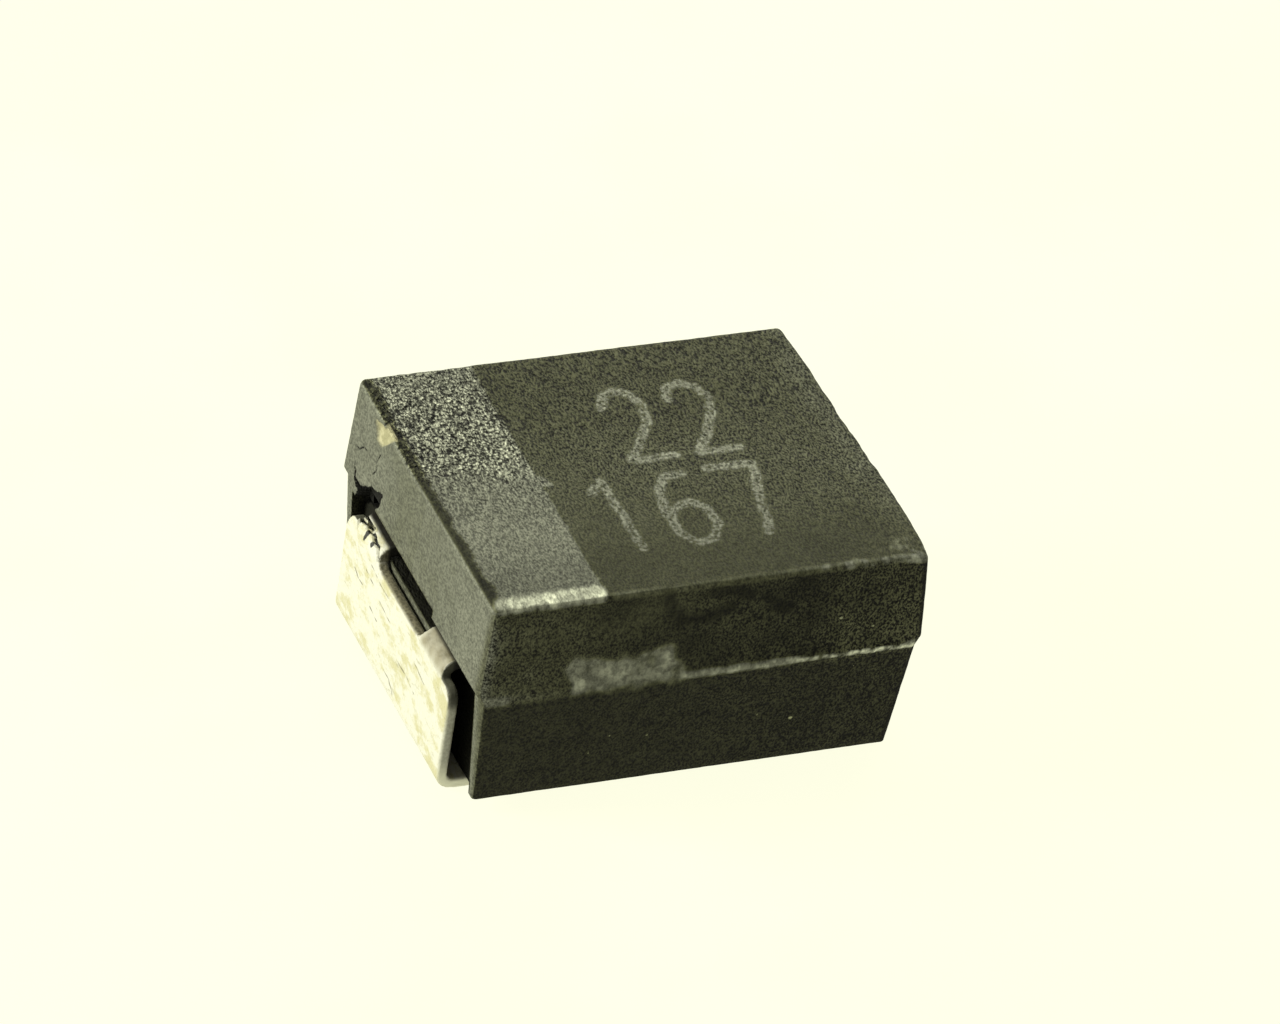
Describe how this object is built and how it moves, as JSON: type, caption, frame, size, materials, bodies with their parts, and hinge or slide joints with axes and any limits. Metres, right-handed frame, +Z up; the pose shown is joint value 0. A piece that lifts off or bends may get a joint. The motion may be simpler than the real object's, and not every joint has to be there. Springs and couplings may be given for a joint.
{
  "type": "tantalum capacitor",
  "caption": "Moulded chip tantalum capacitor: drafted black epoxy case, etched polarity band, folded tin-plated end terminals, and the coated tantalum pellet inside. Worn.",
  "frame": {"origin": "under the middle of the part, on the plane of the board that the two feet stand on", "axes": "+X along the length from the anode end with the polarity band to the cathode end, +Y across the width, +Z up from the board"},
  "size_m": [0.0036, 0.0028, 0.0018],
  "materials": {
    "epoxy": "matte moulded epoxy, finely grained",
    "tin": "matte tin plate, scratched",
    "tantalum": "sintered, porous",
    "tantalum_wire": "drawn",
    "fluoropolymer": "waxy",
    "manganese_dioxide": "dull, finely crystalline",
    "graphite": "dull grey coat",
    "silver_paint": "matte silver paint",
    "silver_glue": "cured silver-filled adhesive"
  },
  "bodies": {
    "root": {"molded_case": "epoxy", "anode_terminal": "tin", "cathode_terminal": "tin", "tantalum_pellet": "tantalum", "riser_wire": "tantalum_wire", "insulating_washer": "fluoropolymer", "manganese_dioxide_coat": "manganese_dioxide", "graphite_coat": "graphite", "silver_coat": "silver_paint", "silver_adhesive": "silver_glue"}
  },
  "joints": []
}
